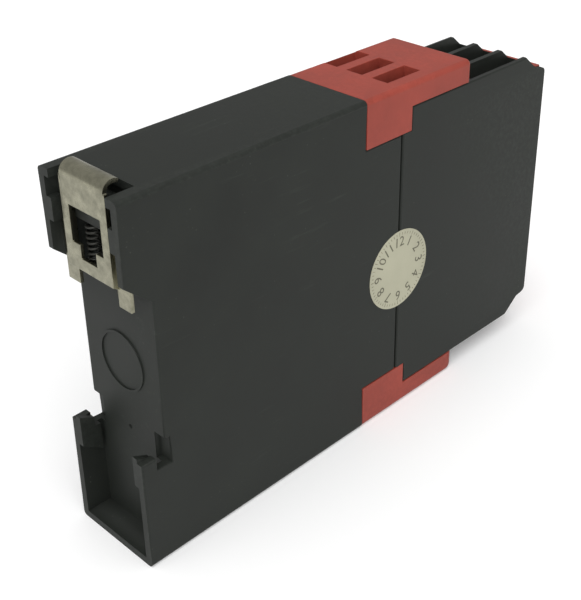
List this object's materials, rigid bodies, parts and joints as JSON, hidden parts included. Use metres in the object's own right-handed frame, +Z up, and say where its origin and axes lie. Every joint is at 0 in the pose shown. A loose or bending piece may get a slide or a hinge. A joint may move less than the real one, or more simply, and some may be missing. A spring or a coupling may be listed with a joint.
{
  "type": "safety relay",
  "caption": "Narrow rail-mounted safety relay with a two-part black case, red terminal caps and front, a sprung sheet metal rail clip and screw clamp terminals.",
  "frame": {"origin": "middle of the bounding box in plan, on the narrow face that the relay stands on", "axes": "+X across the narrow width, +Y to the rear (rail side), +Z up, towards the end with the spring clip"},
  "size_m": [0.0227, 0.124, 0.0818],
  "materials": {
    "black_plastic": "fine moulded texture",
    "red_plastic": "satin moulded",
    "spring_steel": "nickel plated, satin",
    "coil_steel": "oiled spring wire",
    "paper": "matt paper",
    "board_laminate": "solder mask",
    "copper_tin": "tinned",
    "zinc_steel": "zinc plated",
    "relay_case": "moulded",
    "chip_epoxy": "moulded epoxy",
    "core_steel": "laminations",
    "winding_tape": "wrapped tape",
    "can_sleeve": "shrink sleeve",
    "ceramic": "fired",
    "led_epoxy": "clear tinted",
    "clear_plastic": "clear moulded"
  },
  "bodies": {
    "housing": {"rear_housing": "black_plastic", "front_housing": "black_plastic", "upper_terminal_cap": "red_plastic", "lower_terminal_cap": "red_plastic", "front_plate": "red_plastic", "clip_spring": "coil_steel", "seal_sticker": "paper", "main_board": "board_laminate", "logic_board": "board_laminate", "board_header": "copper_tin", "upper_terminal_board": "board_laminate", "lower_terminal_board": "board_laminate", "upper_contact_bars": "copper_tin", "lower_contact_bars": "copper_tin", "guided_relay_1": "relay_case", "guided_relay_2": "relay_case", "controller_chip_1": "chip_epoxy", "controller_chip_2": "chip_epoxy", "transformer_core": "core_steel", "transformer_coil": "winding_tape", "supply_capacitor": "can_sleeve", "supply_fuse": "ceramic", "status_leds": "led_epoxy", "light_pipe": "clear_plastic"},
    "clip": {"din_clip": "spring_steel"},
    "upper_front_screw_1": {"upper_front_screw_1": "zinc_steel"},
    "upper_front_cage_1": {"upper_front_cage_1": "zinc_steel"},
    "upper_front_screw_2": {"upper_front_screw_2": "zinc_steel"},
    "upper_front_cage_2": {"upper_front_cage_2": "zinc_steel"},
    "upper_front_screw_3": {"upper_front_screw_3": "zinc_steel"},
    "upper_front_cage_3": {"upper_front_cage_3": "zinc_steel"},
    "upper_rear_screw_1": {"upper_rear_screw_1": "zinc_steel"},
    "upper_rear_cage_1": {"upper_rear_cage_1": "zinc_steel"},
    "upper_rear_screw_2": {"upper_rear_screw_2": "zinc_steel"},
    "upper_rear_cage_2": {"upper_rear_cage_2": "zinc_steel"},
    "upper_rear_screw_3": {"upper_rear_screw_3": "zinc_steel"},
    "upper_rear_cage_3": {"upper_rear_cage_3": "zinc_steel"},
    "lower_front_screw_1": {"lower_front_screw_1": "zinc_steel"},
    "lower_front_cage_1": {"lower_front_cage_1": "zinc_steel"},
    "lower_front_screw_2": {"lower_front_screw_2": "zinc_steel"},
    "lower_front_cage_2": {"lower_front_cage_2": "zinc_steel"},
    "lower_front_screw_3": {"lower_front_screw_3": "zinc_steel"},
    "lower_front_cage_3": {"lower_front_cage_3": "zinc_steel"},
    "lower_rear_screw_1": {"lower_rear_screw_1": "zinc_steel"},
    "lower_rear_cage_1": {"lower_rear_cage_1": "zinc_steel"},
    "lower_rear_screw_2": {"lower_rear_screw_2": "zinc_steel"},
    "lower_rear_cage_2": {"lower_rear_cage_2": "zinc_steel"},
    "lower_rear_screw_3": {"lower_rear_screw_3": "zinc_steel"},
    "lower_rear_cage_3": {"lower_rear_cage_3": "zinc_steel"}
  },
  "joints": [
    {"name": "clip_slide", "type": "slide", "parent": "housing", "child": "clip", "axis": [0, 0, 1], "range_m": [0, 0.0035], "stiffness_N_per_m": 900, "springref_m": -0.002, "deforming": ["clip_spring"]},
    {"name": "upper_front_screw_1_turn", "type": "hinge", "parent": "housing", "child": "upper_front_screw_1", "pos_m": [-0.0071, 0, 0.066], "axis": [0, 1, 0], "range_deg": [0, 1875]},
    {"name": "upper_front_cage_1_slide", "type": "slide", "parent": "housing", "child": "upper_front_cage_1", "axis": [0, -1, 0], "range_m": [0, 0.0026]},
    {"name": "upper_front_screw_2_turn", "type": "hinge", "parent": "housing", "child": "upper_front_screw_2", "pos_m": [0, 0, 0.066], "axis": [0, 1, 0], "range_deg": [0, 1875]},
    {"name": "upper_front_cage_2_slide", "type": "slide", "parent": "housing", "child": "upper_front_cage_2", "axis": [0, -1, 0], "range_m": [0, 0.0026]},
    {"name": "upper_front_screw_3_turn", "type": "hinge", "parent": "housing", "child": "upper_front_screw_3", "pos_m": [0.0071, 0, 0.066], "axis": [0, 1, 0], "range_deg": [0, 1875]},
    {"name": "upper_front_cage_3_slide", "type": "slide", "parent": "housing", "child": "upper_front_cage_3", "axis": [0, -1, 0], "range_m": [0, 0.0026]},
    {"name": "upper_rear_screw_1_turn", "type": "hinge", "parent": "housing", "child": "upper_rear_screw_1", "pos_m": [-0.0071, 0, 0.0734], "axis": [0, 1, 0], "range_deg": [0, 1875]},
    {"name": "upper_rear_cage_1_slide", "type": "slide", "parent": "housing", "child": "upper_rear_cage_1", "axis": [0, -1, 0], "range_m": [0, 0.0026]},
    {"name": "upper_rear_screw_2_turn", "type": "hinge", "parent": "housing", "child": "upper_rear_screw_2", "pos_m": [0, 0, 0.0734], "axis": [0, 1, 0], "range_deg": [0, 1875]},
    {"name": "upper_rear_cage_2_slide", "type": "slide", "parent": "housing", "child": "upper_rear_cage_2", "axis": [0, -1, 0], "range_m": [0, 0.0026]},
    {"name": "upper_rear_screw_3_turn", "type": "hinge", "parent": "housing", "child": "upper_rear_screw_3", "pos_m": [0.0071, 0, 0.0734], "axis": [0, 1, 0], "range_deg": [0, 1875]},
    {"name": "upper_rear_cage_3_slide", "type": "slide", "parent": "housing", "child": "upper_rear_cage_3", "axis": [0, -1, 0], "range_m": [0, 0.0026]},
    {"name": "lower_front_screw_1_turn", "type": "hinge", "parent": "housing", "child": "lower_front_screw_1", "pos_m": [-0.0071, 0, 0.014], "axis": [0, 1, 0], "range_deg": [0, 1875]},
    {"name": "lower_front_cage_1_slide", "type": "slide", "parent": "housing", "child": "lower_front_cage_1", "axis": [0, -1, 0], "range_m": [0, 0.0026]},
    {"name": "lower_front_screw_2_turn", "type": "hinge", "parent": "housing", "child": "lower_front_screw_2", "pos_m": [0, 0, 0.014], "axis": [0, 1, 0], "range_deg": [0, 1875]},
    {"name": "lower_front_cage_2_slide", "type": "slide", "parent": "housing", "child": "lower_front_cage_2", "axis": [0, -1, 0], "range_m": [0, 0.0026]},
    {"name": "lower_front_screw_3_turn", "type": "hinge", "parent": "housing", "child": "lower_front_screw_3", "pos_m": [0.0071, 0, 0.014], "axis": [0, 1, 0], "range_deg": [0, 1875]},
    {"name": "lower_front_cage_3_slide", "type": "slide", "parent": "housing", "child": "lower_front_cage_3", "axis": [0, -1, 0], "range_m": [0, 0.0026]},
    {"name": "lower_rear_screw_1_turn", "type": "hinge", "parent": "housing", "child": "lower_rear_screw_1", "pos_m": [-0.0071, 0, 0.0066], "axis": [0, 1, 0], "range_deg": [0, 1875]},
    {"name": "lower_rear_cage_1_slide", "type": "slide", "parent": "housing", "child": "lower_rear_cage_1", "axis": [0, -1, 0], "range_m": [0, 0.0026]},
    {"name": "lower_rear_screw_2_turn", "type": "hinge", "parent": "housing", "child": "lower_rear_screw_2", "pos_m": [0, 0, 0.0066], "axis": [0, 1, 0], "range_deg": [0, 1875]},
    {"name": "lower_rear_cage_2_slide", "type": "slide", "parent": "housing", "child": "lower_rear_cage_2", "axis": [0, -1, 0], "range_m": [0, 0.0026]},
    {"name": "lower_rear_screw_3_turn", "type": "hinge", "parent": "housing", "child": "lower_rear_screw_3", "pos_m": [0.0071, 0, 0.0066], "axis": [0, 1, 0], "range_deg": [0, 1875]},
    {"name": "lower_rear_cage_3_slide", "type": "slide", "parent": "housing", "child": "lower_rear_cage_3", "axis": [0, -1, 0], "range_m": [0, 0.0026]}
  ],
  "couplings": [
    {"joint": "upper_front_screw_1_turn", "follows": "upper_front_cage_1_slide", "rad_per_m": 12566},
    {"joint": "upper_front_screw_2_turn", "follows": "upper_front_cage_2_slide", "rad_per_m": 12566},
    {"joint": "upper_front_screw_3_turn", "follows": "upper_front_cage_3_slide", "rad_per_m": 12566},
    {"joint": "upper_rear_screw_1_turn", "follows": "upper_rear_cage_1_slide", "rad_per_m": 12566},
    {"joint": "upper_rear_screw_2_turn", "follows": "upper_rear_cage_2_slide", "rad_per_m": 12566},
    {"joint": "upper_rear_screw_3_turn", "follows": "upper_rear_cage_3_slide", "rad_per_m": 12566},
    {"joint": "lower_front_screw_1_turn", "follows": "lower_front_cage_1_slide", "rad_per_m": 12566},
    {"joint": "lower_front_screw_2_turn", "follows": "lower_front_cage_2_slide", "rad_per_m": 12566},
    {"joint": "lower_front_screw_3_turn", "follows": "lower_front_cage_3_slide", "rad_per_m": 12566},
    {"joint": "lower_rear_screw_1_turn", "follows": "lower_rear_cage_1_slide", "rad_per_m": 12566},
    {"joint": "lower_rear_screw_2_turn", "follows": "lower_rear_cage_2_slide", "rad_per_m": 12566},
    {"joint": "lower_rear_screw_3_turn", "follows": "lower_rear_cage_3_slide", "rad_per_m": 12566}
  ]
}
